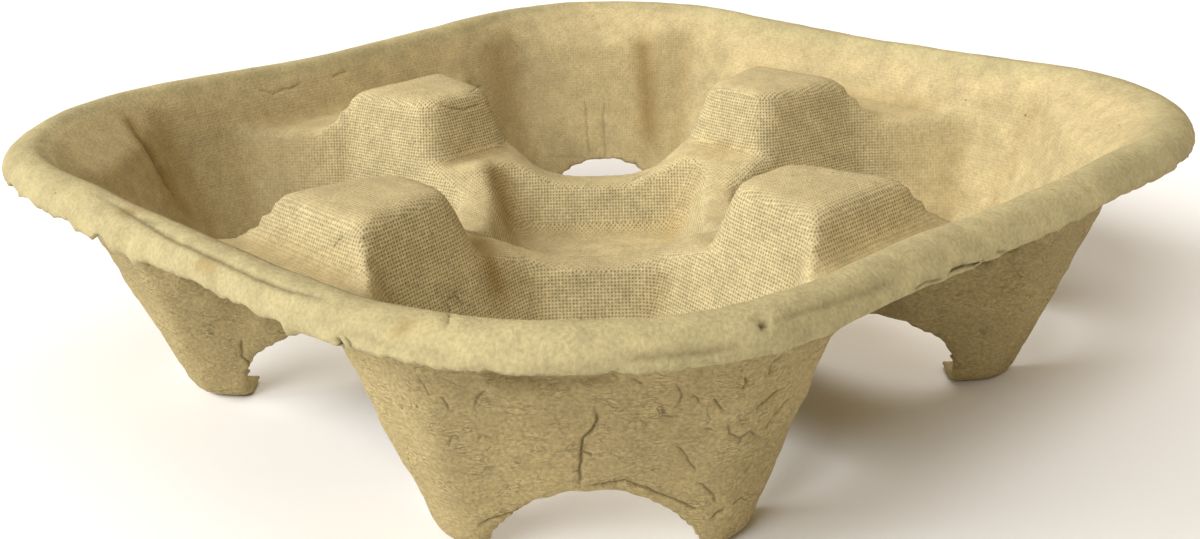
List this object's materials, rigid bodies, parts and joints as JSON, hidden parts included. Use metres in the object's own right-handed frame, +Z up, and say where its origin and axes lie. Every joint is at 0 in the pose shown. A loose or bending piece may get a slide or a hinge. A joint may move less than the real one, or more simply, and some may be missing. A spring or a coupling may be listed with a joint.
{
  "type": "cup carrier",
  "caption": "Square moulded pulp tray that carries drinks cups in deep corner pockets, with hollow posts between them, a middle well and a rolled rim.",
  "frame": {"origin": "on the table, under the middle of the carrier", "axes": "+Z up, the sides of the rim along X and Y, one pocket in each quadrant"},
  "size_m": [0.212, 0.212, 0.055],
  "materials": {
    "moulded_pulp": "matt, fibrous"
  },
  "bodies": {
    "root": {"cup_carrier": "moulded_pulp"}
  },
  "joints": []
}
